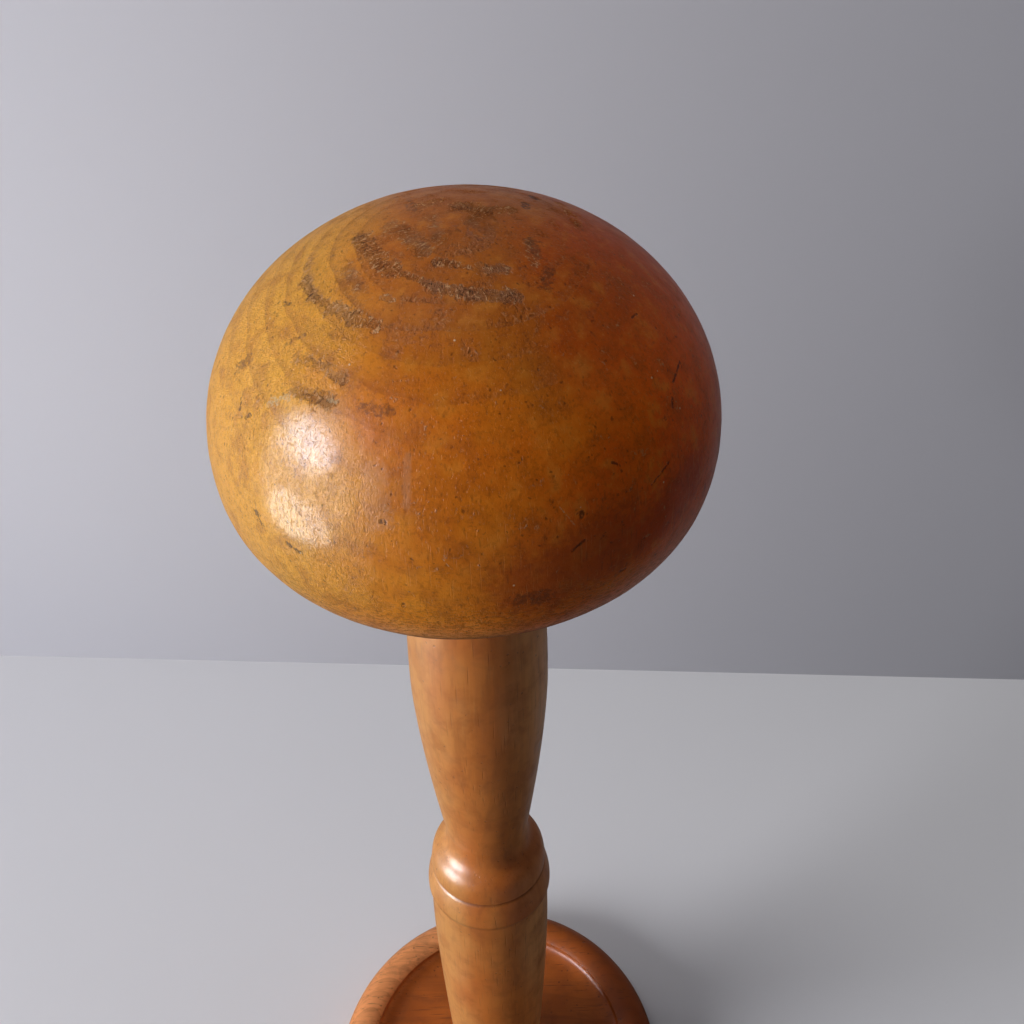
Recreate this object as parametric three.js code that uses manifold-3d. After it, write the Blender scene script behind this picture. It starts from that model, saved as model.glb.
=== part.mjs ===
// Turned wooden hat stand: a flattened ball of a head on a baluster column, on a round dished base.
// Three turned pieces and one driven wedge, in millimetres, +Z up, standing on z = 0 at the origin.
// The column has a round tenon at each end. The upper one is glued into a blind mortise in the head.
// The lower one goes right through the base, and a wedge driven in from below spreads its two halves
// inside a flared mortise, so that it can't draw out again.
import * as THREE from "three";
import { mergeVertices } from "three/addons/utils/BufferGeometryUtils.js";
import Module from "manifold-3d";

const wasm = await Module();
wasm.setup();

// Base: a disc with a half-round rim, a sunk dish and a low boss that the column stands on.
const baseDiameter = 140;
const baseThickness = 19;
const rimFall = 1.8; // how far the rim has rounded down again where its inner edge is
const quirkDepth = 1.2; // small upright step under that edge
const dishDepth = 6; // from the top of the rim to the floor of the dish
const coveWidth = 6; // hollow curve from the step down to the floor
const floorRise = 1; // how much the floor climbs towards the boss
const bossDiameter = 44;
const bossHeight = 3.2;
const bossRound = 2;
const footRingWidth = 12; // flat ring underneath, the only part that touches the table
const hollowDepth = 1.5; // of the underside inside the ring
const hollowSlopeWidth = 26; // from the ring in to where the hollow is flat

// Column, from the bottom: lower shaft, ring, upper shaft.
const lowerShaftLength = 127;
const footRadius = 17; // at the shoulder on the boss
const lowerBellyRadius = 21.4;
const lowerBellyDrop = 20; // below the ring
const lowerTopRadius = 21.1;
const lowerTaper = 1.5; // exponent of the curve from the belly to the foot

const bandHeight = 11.3; // of the ring below its groove
const bandRadius = 22.15;
const bandRound = 1.4; // of the band's lower edge
const bandSwell = 0.5; // of the band's face beyond a straight slope
const grooveRadius = 20.3; // of the ring on both sides of its groove
const grooveWidth = 1.2;
const grooveDepth = 0.8;
const shoulderHeight = 19.3; // from the groove to the neck
const shoulderPull = 14; // how far the shoulder's curve is drawn straight up from the groove
const neckPull = 14; // and straight down from the neck
const neckRadius = 14.1;

const upperShaftLength = 130.7;
const upperBellyRadius = 21.15;
const upperBellyDrop = 59; // below the head
const upperTopRadius = 18; // at the shoulder under the head
const upperTaper = 1.5;
const topTaper = 2; // exponent of the curve above a belly

// Head: half an ellipsoid over a fuller skirt that is cut off flat underneath.
const headDiameter = 128;
const crownHeight = 55.5; // from the widest circle up to the top
const skirtDepth = 33; // from the widest circle down to the flat underside
const skirtHalfHeight = 44; // of the superellipse that the skirt follows
const skirtFullness = 2.3;
const arrisRound = 2;

// Joints.
const tenonRadius = 11;
const headTenonLength = 30;
const tenonChamfer = 1.5;
const glueGap = 0.3; // round a tenon and beside the wedge
const mortiseEndGap = 3; // room for glue past the end of the upper tenon
const drillPointAngle = THREE.MathUtils.degToRad(59); // between the drill's axis and its cutting edge
const kerfWidth = 1.6; // saw cut across the lower tenon, before the wedge opens it
const kerfRootGap = 2.5; // wood left between the saw cut and the shoulder
const wedgeSpread = 0.9; // how far the wedge pushes each half out at its end
const wedgeTipGap = 1;
const wedgeInset = 0.8; // at each side, so that the wedge is narrower than the tenon

const headFacets = 64;
const columnFacets = 48;
const baseFacets = 64;

// Heights that follow.
const dishFloor = baseThickness - dishDepth;
const bossTop = dishFloor + floorRise + bossHeight;
const lowerTenonEnd = hollowDepth;
const kerfRoot = bossTop - kerfRootGap;
const ringBottom = bossTop + lowerShaftLength;
const grooveBottom = ringBottom + bandHeight;
const shoulderBottom = grooveBottom + grooveWidth;
const neck = shoulderBottom + shoulderHeight;
const headUnderside = neck + upperShaftLength;
const headEquator = headUnderside + skirtDepth;

const at = (radius, height) => new THREE.Vector2(radius, height);

// A profile of (radius, height) points, turned about +Z.
function turned(profile, facets) {
  return new THREE.LatheGeometry(profile, facets).rotateX(Math.PI / 2);
}

function solidOf(geometry) {
  const bare = geometry.clone();
  bare.deleteAttribute("normal");
  bare.deleteAttribute("uv");
  const merged = mergeVertices(bare);
  return new wasm.Manifold(
    new wasm.Mesh({
      numProp: 3,
      vertProperties: new Float32Array(merged.attributes.position.array),
      triVerts: new Uint32Array(merged.index.array),
    }),
  );
}

function geometryOf(solid) {
  const mesh = solid.getMesh();
  const geometry = new THREE.BufferGeometry();
  geometry.setAttribute("position", new THREE.BufferAttribute(new Float32Array(mesh.vertProperties), 3));
  geometry.setIndex(new THREE.BufferAttribute(new Uint32Array(mesh.triVerts), 1));
  geometry.computeVertexNormals();
  return geometry;
}

// Points of a tapering shaft, from its belly to an end: the radius falls as the distance from the
// belly, taken as a share of the whole way, to the power of the exponent.
function taper(belly, end, exponent, steps) {
  return Array.from({ length: steps + 1 }, (_, i) => {
    const share = i / steps;
    const radius = belly.x - (belly.x - end.x) * share ** exponent;
    return at(radius, belly.y + (end.y - belly.y) * share);
  });
}

// Points of a quarter superellipse, from its widest point up to a part of its height.
function superellipse({ radius, height, exponent, part = 1, steps }) {
  const last = Math.asin(part ** (exponent / 2));
  return Array.from({ length: steps + 1 }, (_, i) => {
    const angle = (last * i) / steps;
    const x = part === 1 && i === steps ? 0 : radius * Math.cos(angle) ** (2 / exponent);
    return at(x, height * Math.sin(angle) ** (2 / exponent));
  });
}

function arc({ x, y, rx, ry = rx, from, to, steps }) {
  return new THREE.EllipseCurve(x, y, rx, ry, from, to, to < from).getPoints(steps);
}

function bend(start, corner, end, steps) {
  return new THREE.QuadraticBezierCurve(start, corner, end).getPoints(steps);
}

// How far each half of the lower tenon is pushed out at a height: not at all at the saw cut's root.
function spreadAt(height) {
  const share = (kerfRoot - height) / (kerfRoot - lowerTenonEnd);
  return wedgeSpread * THREE.MathUtils.clamp(share, 0, 1);
}

// Pushes the two halves of the tenon, or of the mortise round it, apart along X.
function spreadHalves(geometry) {
  const middle = 1e-6;
  const position = geometry.attributes.position;
  for (let i = 0; i < position.count; i++) {
    const x = position.getX(i);
    const side = Math.abs(x) < middle ? 0 : Math.sign(x);
    position.setX(i, x + side * spreadAt(position.getZ(i)));
  }
  return geometry;
}

// A prism along Y with a section that narrows upwards, as the saw cut and the wedge have.
function taperedPrism({ bottom, top, bottomHalf, topHalf, width }) {
  const section = new THREE.Shape([
    at(-bottomHalf, bottom),
    at(bottomHalf, bottom),
    at(topHalf, top),
    at(-topHalf, top),
  ]);
  return new THREE.ExtrudeGeometry(section, { depth: width, bevelEnabled: false })
    .translate(0, 0, -width / 2)
    .rotateX(Math.PI / 2);
}

function baseProfile() {
  const rimRadius = baseThickness / 2;
  const rimCentre = baseDiameter / 2 - rimRadius;
  const innerAngle = Math.PI - Math.asin((rimRadius - rimFall) / rimRadius);
  const rimInner = rimCentre + rimRadius * Math.cos(innerAngle);
  const coveTop = baseThickness - rimFall - quirkDepth;
  const bossRadius = bossDiameter / 2;
  const ringInner = rimCentre - footRingWidth;
  const hollowFlat = ringInner - hollowSlopeWidth;
  const rim = arc({
    x: rimCentre,
    y: rimRadius,
    rx: rimRadius,
    from: -Math.PI / 2,
    to: innerAngle,
    steps: 14,
  });
  const cove = arc({
    x: rimInner - coveWidth,
    y: coveTop,
    rx: coveWidth,
    ry: coveTop - dishFloor,
    from: 0,
    to: -Math.PI / 2,
    steps: 6,
  });
  const edge = arc({
    x: bossRadius - bossRound,
    y: bossTop - bossRound,
    rx: bossRound,
    from: 0,
    to: Math.PI / 2,
    steps: 4,
  });
  const hollow = bend(
    at(hollowFlat, hollowDepth),
    at((hollowFlat + ringInner) / 2, hollowDepth),
    at(ringInner, 0),
    5,
  );
  const underside = [at(0, hollowDepth), ...hollow];
  const dish = [...cove, at(bossRadius, dishFloor + floorRise)];
  return [...underside, ...rim, ...dish, ...edge, at(0, bossTop)];
}

// The way for the tenon through the base, flared as the tenon is and a glue gap wider.
function mortiseGeometry() {
  const radius = tenonRadius + glueGap;
  const wall = [lowerTenonEnd - dishDepth, lowerTenonEnd, kerfRoot, bossTop + dishDepth];
  const profile = [at(0, wall[0]), ...wall.map((height) => at(radius, height)), at(0, wall[3])];
  return spreadHalves(turned(profile, columnFacets));
}

function baseGeometry() {
  const disc = solidOf(turned(baseProfile(), baseFacets));
  return geometryOf(disc.subtract(solidOf(mortiseGeometry())));
}

function lowerShaft() {
  const belly = at(lowerBellyRadius, ringBottom - lowerBellyDrop);
  const down = taper(belly, at(footRadius, bossTop), lowerTaper, 8);
  const up = taper(belly, at(lowerTopRadius, ringBottom), topTaper, 3);
  return [...down.reverse(), ...up.slice(1)];
}

// The ring: a band that widens downwards, a fine groove, and a round shoulder that sweeps into the neck.
function ring() {
  const edge = bend(
    at(bandRadius - bandRound / 2, ringBottom),
    at(bandRadius, ringBottom),
    at(bandRadius, ringBottom + bandRound),
    3,
  );
  const middle = (ringBottom + bandRound + grooveBottom) / 2;
  const face = bend(
    edge[3],
    at((bandRadius + grooveRadius) / 2 + 2 * bandSwell, middle),
    at(grooveRadius, grooveBottom),
    5,
  ).slice(1);
  const shoulder = new THREE.CubicBezierCurve(
    at(grooveRadius, shoulderBottom),
    at(grooveRadius, shoulderBottom + shoulderPull),
    at(neckRadius, neck - neckPull),
    at(neckRadius, neck),
  ).getPoints(10);
  return [...edge, ...face, at(grooveRadius - grooveDepth, grooveBottom + grooveWidth / 2), ...shoulder];
}

function upperShaft() {
  const belly = at(upperBellyRadius, headUnderside - upperBellyDrop);
  const down = taper(belly, at(neckRadius, neck), upperTaper, 9);
  const up = taper(belly, at(upperTopRadius, headUnderside), topTaper, 6);
  return [...down.reverse().slice(1), ...up.slice(1)];
}

function columnGeometry() {
  const headTenonEnd = headUnderside + headTenonLength;
  const profile = [
    at(0, lowerTenonEnd),
    at(tenonRadius, lowerTenonEnd),
    at(tenonRadius, kerfRoot),
    at(tenonRadius, bossTop),
    ...lowerShaft(),
    ...ring(),
    ...upperShaft(),
    at(tenonRadius, headUnderside),
    at(tenonRadius, headTenonEnd - tenonChamfer),
    at(tenonRadius - tenonChamfer, headTenonEnd),
    at(0, headTenonEnd),
  ];
  const openedKerf = taperedPrism({
    bottom: lowerTenonEnd - kerfWidth,
    top: kerfRoot,
    bottomHalf: kerfWidth / 2 + wedgeSpread * (1 + kerfWidth / (kerfRoot - lowerTenonEnd)),
    topHalf: kerfWidth / 2,
    width: 3 * tenonRadius,
  });
  const blank = solidOf(spreadHalves(turned(profile, columnFacets)));
  return geometryOf(blank.subtract(solidOf(openedKerf)));
}

// The wedge fills the opened saw cut and ends flush with the tenon.
function wedgeGeometry() {
  const tip = kerfRoot - wedgeTipGap;
  return taperedPrism({
    bottom: lowerTenonEnd,
    top: tip,
    bottomHalf: kerfWidth / 2 + wedgeSpread - glueGap,
    topHalf: kerfWidth / 2 + spreadAt(tip) - glueGap,
    width: 2 * (tenonRadius - wedgeInset),
  });
}

function headGeometry() {
  const headRadius = headDiameter / 2;
  const mortiseRadius = tenonRadius + glueGap;
  const mortiseEnd = headUnderside + headTenonLength + mortiseEndGap;
  const pointHeight = mortiseRadius / Math.tan(drillPointAngle);
  const skirt = superellipse({
    radius: headRadius,
    height: skirtHalfHeight,
    exponent: skirtFullness,
    part: (skirtDepth - arrisRound) / skirtHalfHeight,
    steps: 8,
  }).map((p) => at(p.x, headEquator - p.y));
  const crown = superellipse({ radius: headRadius, height: crownHeight, exponent: 2, steps: 14 })
    .map((p) => at(p.x, headEquator + p.y));
  const arrisTop = skirt.at(-1);
  const arris = bend(
    at(arrisTop.x - 2 * arrisRound, headUnderside),
    at(arrisTop.x - arrisRound / 2, headUnderside),
    arrisTop,
    3,
  );
  return turned(
    [
      at(0, mortiseEnd + pointHeight),
      at(mortiseRadius, mortiseEnd),
      at(mortiseRadius, headUnderside),
      ...arris,
      ...skirt.reverse().slice(1),
      ...crown.slice(1),
    ],
    headFacets,
  );
}

const woods = {
  head: { color: 0xb0661f, roughness: 0.35 },
  column: { color: 0xbd7a38, roughness: 0.4 },
  base: { color: 0xa65c26, roughness: 0.4 },
  base_wedge: { color: 0x8a5a34, roughness: 0.7 },
};

const shapes = {
  base: baseGeometry(),
  column: columnGeometry(),
  base_wedge: wedgeGeometry(),
  head: headGeometry(),
};

const stand = new THREE.Group();
stand.name = "hat_stand";
for (const [name, geometry] of Object.entries(shapes)) {
  const mesh = new THREE.Mesh(geometry, new THREE.MeshStandardMaterial({ ...woods[name], metalness: 0 }));
  mesh.name = name;
  stand.add(mesh);
}

export default stand;
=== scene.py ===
# Turned wooden hat stand: a ball head on a baluster column, on a dished base. Lengths are in metres.
import math

import bpy
import numpy as np
from mathutils import Matrix, Vector


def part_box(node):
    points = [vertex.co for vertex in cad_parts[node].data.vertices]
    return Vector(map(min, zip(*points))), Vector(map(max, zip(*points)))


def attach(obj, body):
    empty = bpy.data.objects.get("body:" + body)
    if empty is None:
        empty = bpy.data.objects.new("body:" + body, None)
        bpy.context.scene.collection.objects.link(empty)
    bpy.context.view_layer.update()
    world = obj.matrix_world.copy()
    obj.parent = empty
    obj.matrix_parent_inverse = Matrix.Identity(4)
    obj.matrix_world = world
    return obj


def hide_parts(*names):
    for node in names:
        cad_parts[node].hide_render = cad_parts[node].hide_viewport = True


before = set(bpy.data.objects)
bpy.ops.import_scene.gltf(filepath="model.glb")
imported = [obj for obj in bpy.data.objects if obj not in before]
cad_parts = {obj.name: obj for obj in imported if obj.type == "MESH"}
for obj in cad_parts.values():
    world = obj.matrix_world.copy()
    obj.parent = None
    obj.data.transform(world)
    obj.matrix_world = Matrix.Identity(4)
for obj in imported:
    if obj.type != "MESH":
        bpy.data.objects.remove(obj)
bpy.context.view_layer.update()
mm = 0.001
imageWidth = 1024
sensorWidth = 36.0
print("frame loaded:", ", ".join(sorted(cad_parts)))


# Shapes

# Points that a run needs at a spacing, at least two.
def steps(length, spacing):
    return max(2, math.ceil(length / spacing) + 1)


# Points at even distances along a run of points, both ends kept.
def evenly(run, spacing):
    run = np.asarray(run, float)
    travelled = np.concatenate([[0], np.cumsum(np.linalg.norm(np.diff(run, axis=0), axis=1))])
    at = np.linspace(0, travelled[-1], steps(travelled[-1], spacing))
    return np.stack([np.interp(at, travelled, run[:, 0]), np.interp(at, travelled, run[:, 1])], axis=1)


# Runs that follow each other, with each shared corner kept once.
def chain(spacing, *runs):
    parts = [evenly(run, spacing) for run in runs]
    return np.vstack([parts[0]] + [part[1:] for part in parts[1:]])


# Radius = belly - (belly - end) * share ** exponent, with the share of the way from belly to end.
def taper(belly, end, exponent, samples=200):
    share = np.linspace(0, 1, samples)
    radius = belly[0] - (belly[0] - end[0]) * share ** exponent
    return np.stack([radius, belly[1] + (end[1] - belly[1]) * share], axis=1)


# Part of a quarter superellipse: radius * cos(a) ** (2 / e) out, height * sin(a) ** (2 / e) up.
def superellipse(radius, height, exponent, part=1.0, samples=400):
    angle = np.linspace(0, math.asin(part ** (exponent / 2)), samples)
    across = radius * np.abs(np.cos(angle)) ** (2 / exponent)
    return np.stack([across, height * np.sin(angle) ** (2 / exponent)], axis=1)


# Arc of an ellipse between two angles: centre + across * cos(a) out, centre + up * sin(a) up.
def arc(centre, across, up, start, end, samples=120):
    angle = np.linspace(start, end, samples)
    return np.stack([centre[0] + across * np.cos(angle), centre[1] + up * np.sin(angle)], axis=1)


# Quadratic curve drawn towards the corner: (1 - t)^2 start + 2 t (1 - t) corner + t^2 end.
def bend(start, corner, end, samples=60):
    t = np.linspace(0, 1, samples)[:, None]
    return (1 - t) ** 2 * np.array(start) + 2 * t * (1 - t) * np.array(corner) + t ** 2 * np.array(end)


# Cubic curve: (1 - t)^3 a + 3 t (1 - t)^2 b + 3 t^2 (1 - t) c + t^3 d, with b and c drawing it on.
def sweep(a, b, c, d, samples=120):
    t = np.linspace(0, 1, samples)[:, None]
    a, b, c, d = (np.array(point) for point in (a, b, c, d))
    return (1 - t) ** 3 * a + 3 * t * (1 - t) ** 2 * b + 3 * t ** 2 * (1 - t) * c + t ** 3 * d


# Smooth unevenness between about -1 and 1: a sum of cosine waves in seeded directions, each of 0.7 to
# 1.6 times the wavelength.
def unevenness(points, wavelength, seed, waves=24):
    rng = np.random.default_rng(seed)
    direction = rng.normal(size=(waves, 3))
    direction /= np.linalg.norm(direction, axis=1)[:, None]
    pace = 2 * np.pi / (wavelength * rng.uniform(0.7, 1.6, waves))
    phase = rng.uniform(0, 2 * np.pi, waves)
    return np.cos(points @ (direction * pace[:, None]).T + phase).sum(axis=1) / math.sqrt(2 * waves)


def addObject(name, data):
    made = bpy.data.objects.new(name, data)
    bpy.context.scene.collection.objects.link(made)
    return made


def addPiece(name, points, faces, material, node, sharpAngle=math.radians(38)):
    mesh = bpy.data.meshes.new(name)
    mesh.from_pydata(points.tolist(), [], faces)
    mesh.validate()
    mesh.shade_smooth()
    mesh.set_sharp_from_angle(angle=sharpAngle)
    mesh.materials.append(material)
    piece = addObject(name, mesh)
    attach(piece, "root")
    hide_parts(node)
    return piece


# Faces between neighbouring rings of points. The ends close in a fan to the two points after the rings,
# or, where a hole goes right through, the last ring joins the first.
def ringFaces(count, segments, throughHole=False):
    along, beside = np.arange(segments), np.roll(np.arange(segments), -1)
    lower = np.arange(count if throughHole else count - 1)[:, None]
    upper = (lower + 1) % count
    quads = np.stack([lower * segments + along, lower * segments + beside,
                      upper * segments + beside, upper * segments + along], axis=-1)
    faces = quads.reshape(-1, 4).tolist()
    if not throughHole:
        pole, last = count * segments, (count - 1) * segments
        bottom = np.stack([0 * along + pole, beside, along], axis=-1)
        top = np.stack([last + along, last + beside, 0 * along + pole + 1], axis=-1)
        faces += bottom.tolist() + top.tolist()
    return faces


# A profile turned about +Z: x = r cos(a), y = r sin(a), z = h, with a round the axis and (r, h) along
# the profile. It closes on the axis at both ends, or on itself where a hole goes right through.
def turned(profile, segments, throughHole=False):
    angle = np.arange(segments) * 2 * np.pi / segments
    rings = profile[:-1] if throughHole else profile[1:-1]
    radius, height = rings[:, :1], rings[:, 1:]
    grid = np.stack([radius * np.cos(angle), radius * np.sin(angle), height + 0 * angle], axis=-1)
    points = grid.reshape(-1, 3)
    if not throughHole:
        points = np.vstack([points, [[0, 0, profile[0, 1]], [0, 0, profile[-1, 1]]]])
    return points, ringFaces(len(rings), segments, throughHole)


# Shader wiring

class Wiring:
    def __init__(self, tree):
        self.tree = tree

    def node(self, kind, sockets=None, **settings):
        made = self.tree.nodes.new("ShaderNode" + kind)
        for key, value in settings.items():
            setattr(made, key, value)
        for key, value in (sockets or {}).items():
            self.plug(made.inputs[key], value)
        return made

    def plug(self, socket, value):
        if isinstance(value, bpy.types.NodeSocket):
            self.tree.links.new(value, socket)
        else:
            socket.default_value = value

    def math(self, operation, first, second=0.0):
        return self.node("Math", {0: first, 1: second}, operation=operation).outputs[0]

    def inTurn(self, operation, first, *others):
        for other in others:
            first = self.math(operation, first, other)
        return first

    def add(self, *terms):
        return self.inTurn("ADD", *terms)

    def times(self, *terms):
        return self.inTurn("MULTIPLY", *terms)

    def largest(self, *terms):
        return self.inTurn("MAXIMUM", *terms)

    def minus(self, first, second):
        return self.math("SUBTRACT", first, second)

    def vector(self, operation, first, second=(0, 0, 0), scale=1.0):
        made = self.node("VectorMath", {0: first, 1: second, 3: scale}, operation=operation)
        return made.outputs[1 if operation in ("LENGTH", "DOT_PRODUCT", "DISTANCE") else 0]

    def per(self, vector, size):
        return self.vector("SCALE", vector, scale=self.math("DIVIDE", 1.0, size))

    def parts(self, vector):
        return self.node("SeparateXYZ", {0: vector}).outputs

    # 0 below low, 1 above high, eased between them; low above high turns it round
    def ease(self, value, low, high):
        sockets = {"Value": value, "From Min": low, "From Max": high}
        return self.node("MapRange", sockets, interpolation_type="SMOOTHSTEP").outputs["Result"]

    def noise(self, vector, size, detail=2.0, roughness=0.5, distortion=0.0):
        sockets = {"Vector": vector, "Scale": 1 / size, "Detail": detail, "Roughness": roughness,
                   "Distortion": distortion}
        return self.node("TexNoise", sockets).outputs["Fac"]

    # a noise centred on 0, times how far it reaches
    def sway(self, noise, reach):
        return self.times(self.minus(noise, 0.5), reach)

    # the vector pushed about by a noise in three directions
    def shaken(self, vector, frequency, reach):
        push = self.node("TexNoise", {"Vector": vector, "Scale": frequency}).outputs["Color"]
        return self.vector("ADD", vector, self.vector("SCALE", push, scale=reach))

    def cells(self, vector, size):
        return self.node("TexVoronoi", {"Vector": vector, "Scale": 1 / size}).outputs

    def chance(self, vector):
        return self.node("TexWhiteNoise", {"Vector": vector}).outputs["Value"]

    def stretched(self, vector, turn, scale):
        return self.node("Mapping", {"Vector": vector, "Rotation": turn, "Scale": scale}).outputs[0]

    def mix(self, factor, first, second):
        return self.node("Mix", {0: factor, 2: first, 3: second}, data_type="FLOAT").outputs[0]

    # colours are sockets, or red, green and blue from 0 to 255 as a picture shows them
    def tint(self, factor, first, second):
        made = self.node("Mix", {0: factor}, data_type="RGBA")
        for place, shade in ((6, first), (7, second)):
            self.plug(made.inputs[place], colour(*shade) if isinstance(shade, tuple) else shade)
        return made.outputs[2]

    # the two tones of a wood, and tints over them in turn, each by its name and what thins it
    def tinted(self, tones, blend, *tints):
        tone = self.tint(blend, *tones["wood"])
        for name, *shares in tints:
            tone = self.tint(self.times(*shares), tone, tones[name])
        return tone

    def use(self, group, sockets):
        made = self.tree.nodes.new("ShaderNodeGroup")
        made.node_tree = group
        for key, value in sockets.items():
            self.plug(made.inputs[key], value)
        return made.outputs


def startGroup(name, inputs, outputs):
    tree = bpy.data.node_groups.new(name, "ShaderNodeTree")
    for title, value in inputs.items():
        kind = "NodeSocketVector" if isinstance(value, tuple) else "NodeSocketFloat"
        tree.interface.new_socket(title, in_out="INPUT", socket_type=kind).default_value = value
    for title in outputs:
        tree.interface.new_socket(title, in_out="OUTPUT", socket_type="NodeSocketFloat")
    return Wiring(tree), tree.nodes.new("NodeGroupInput").outputs, tree.nodes.new("NodeGroupOutput").inputs


# The linear colour that a picture shows as these values from 0 to 255.
def colour(red, green, blue):
    linear = [((c / 255 + 0.055) / 1.055) ** 2.4 if c > 10 else c / 255 / 12.92 for c in (red, green, blue)]
    return (*linear, 1.0)


# Growth rings about a trunk line along Z: the distance from the line, shaken by noise, is cut into
# rings, and each darkens slowly outwards and ends at once, more in one year than in another.
def growthRings():
    w, given, out = startGroup(
        "growthRings",
        {"Vector": (0, 0, 0), "Pith": (0, 0, 0), "Ring width": 5.0, "Wander": 1.5, "Wander size": 12.0},
        ("Late wood",),
    )
    flat = w.vector("MULTIPLY", w.vector("SUBTRACT", given["Vector"], given["Pith"]), (1, 1, 0.04))
    slow = w.per(given["Vector"], given["Wander size"])
    shake = w.sway(w.noise(slow, 1.0, 2.0), given["Wander"])
    distance = w.add(w.vector("LENGTH", flat), w.times(shake, 2.0))
    count = w.math("DIVIDE", distance, given["Ring width"])
    share = w.math("FRACT", count)
    year = w.node("TexWhiteNoise", {"W": w.math("FLOOR", count)}, noise_dimensions="1D").outputs["Value"]
    late = w.times(w.math("POWER", share, 3.0), w.ease(share, 1.0, 0.93))
    w.plug(out["Late wood"], w.times(late, w.mix(year, 0.35, 1.0)))
    return w.tree


# Fibres: noise and cells drawn out along Z, which are streaks on long grain and dots on end grain.
def woodFibres():
    w, given, out = startGroup(
        "woodFibres", {"Vector": (0, 0, 0), "Size": 0.6, "Length": 14.0, "Pore share": 0.35},
        ("Streaks", "Pores", "Ray flecks"),
    )
    x, y, z = w.parts(w.per(given["Vector"], given["Size"]))
    drawn = w.node("CombineXYZ", {0: x, 1: y, 2: w.math("DIVIDE", z, given["Length"])}).outputs[0]
    bent = w.shaken(drawn, 0.12, 2.2)
    cell = w.cells(bent, 1.25)
    chosen = w.ease(w.chance(cell["Position"]), given["Pore share"], w.minus(given["Pore share"], 0.05))
    w.plug(out["Streaks"], w.noise(bent, 2.6, 4.0, 0.62))
    w.plug(out["Pores"], w.times(w.ease(cell["Distance"], 0.42, 0.12), chosen))
    w.plug(out["Ray flecks"], w.ease(w.noise(bent, 1.1, 1.0), 0.62, 0.74))
    return w.tree


# Years of handling: fine pits in loose clusters, hair scratches in three directions, smudged dirt, the
# wrinkles of old varnish and grains of dust.
def handling():
    w, given, out = startGroup(
        "handling", {"Vector": (0, 0, 0), "Pit size": 1.3, "Pit share": 0.3},
        ("Pits", "Scratches", "Dirt", "Wrinkles", "Dust"),
    )
    vector = given["Vector"]
    cell = w.cells(w.per(w.shaken(vector, 0.9, 1.4), given["Pit size"]), 1.0)
    loose = w.times(given["Pit share"], w.ease(w.noise(vector, 9.0, 2.0), 0.38, 0.66), 2.0)
    value = w.chance(cell["Position"])
    chosen = w.ease(value, loose, w.minus(loose, 0.08))
    lines = [
        w.ease(w.noise(w.stretched(vector, turn, (2.6, 2.6, 0.07)), 1.0, 0.0), 0.755, 0.8)
        for turn in ((0.9, 0.3, 0.0), (0.2, -1.1, 0.6), (1.4, 0.9, 0.4))
    ]
    w.plug(out["Pits"], w.times(w.ease(cell["Distance"], w.mix(value, 0.34, 0.2), 0.06), chosen))
    w.plug(out["Scratches"], w.largest(*lines))
    w.plug(out["Dirt"], w.ease(w.noise(vector, 7.0, 4.0, 0.6, 0.5), 0.48, 0.72))
    w.plug(out["Wrinkles"], w.noise(w.stretched(vector, (0.5, 0.9, 0.4), (1, 1, 0.55)), 0.8, 3.0, 0.62, 1.8))
    w.plug(out["Dust"], w.ease(w.cells(vector, 7.0)["Distance"], 0.045, 0.02))
    return w.tree


# One stroke: near the line from start to end, with an edge shaken by a noise that is handed in.
def strokeMark():
    w, given, out = startGroup(
        "strokeMark",
        {"Vector": (0, 0, 0), "Start": (0, 0, 0), "End": (0, 0, 0),
         "Width": 0.5, "Spread": 1.0, "Shake": 0.0},
        ("Mask",),
    )
    way = w.vector("SUBTRACT", given["End"], given["Start"])
    reach = w.vector("SUBTRACT", given["Vector"], given["Start"])
    share = w.math("DIVIDE", w.vector("DOT_PRODUCT", reach, way),
                   w.math("MAXIMUM", w.vector("DOT_PRODUCT", way, way), 1e-4))
    share = w.math("MINIMUM", w.math("MAXIMUM", share, 0.0), 1.0)
    nearest = w.vector("ADD", given["Start"], w.vector("SCALE", way, scale=share))
    distance = w.vector("DISTANCE", given["Vector"], nearest)
    width = given["Width"]
    shaken = w.add(distance, w.times(given["Shake"], width))
    w.plug(out["Mask"], w.ease(shaken, w.times(width, given["Spread"]), w.times(width, 0.4)))
    return w.tree


groups = {make.__name__: make() for make in (growthRings, woodFibres, handling, strokeMark)}


# A material from the piece's plain values and from what its painter makes of the place on the object in
# mm: sockets that change over the surface, and its height in mm.
def woodMaterial(piece, painter):
    material = bpy.data.materials.new(painter.__name__)
    material.use_nodes = True
    w = Wiring(material.node_tree)
    shader = material.node_tree.nodes["Principled BSDF"]
    for name, value in piece["shader"].items():
        shader.inputs[name].default_value = value
    place = w.vector("SCALE", w.node("TexCoord").outputs["Object"], scale=1 / mm)
    sockets, height = painter(w, place)
    bump = w.node("Bump", {"Strength": 1.0, "Distance": mm, "Height": height})
    sockets["Normal"] = bump.outputs["Normal"]
    for name, value in sockets.items():
        w.plug(shader.inputs[name], value)
    return material


# The rings, fibres and wear of a piece, with the grain along the trunk's own Z.
def grain(w, piece, place, trunk):
    rings = w.use(groups["growthRings"], {"Vector": trunk, **piece["rings"]})
    fibres = w.use(groups["woodFibres"], {"Vector": trunk, **piece["fibres"]})
    worn = w.use(groups["handling"], {"Vector": place, **piece["wear"]})
    return rings, fibres, worn


# Height in mm of a smooth varnished skin: fibres, slow waves, pores and pits.
def smoothSkin(w, fibres, worn, waves):
    return w.add(w.times(fibres["Streaks"], 0.03), w.times(waves, 0.1),
                 w.times(fibres["Pores"], -0.05), w.times(worn["Pits"], -0.1))


# Head: half an ellipsoid over a fuller skirt, cut off flat, with a blind mortise in its underside

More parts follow.
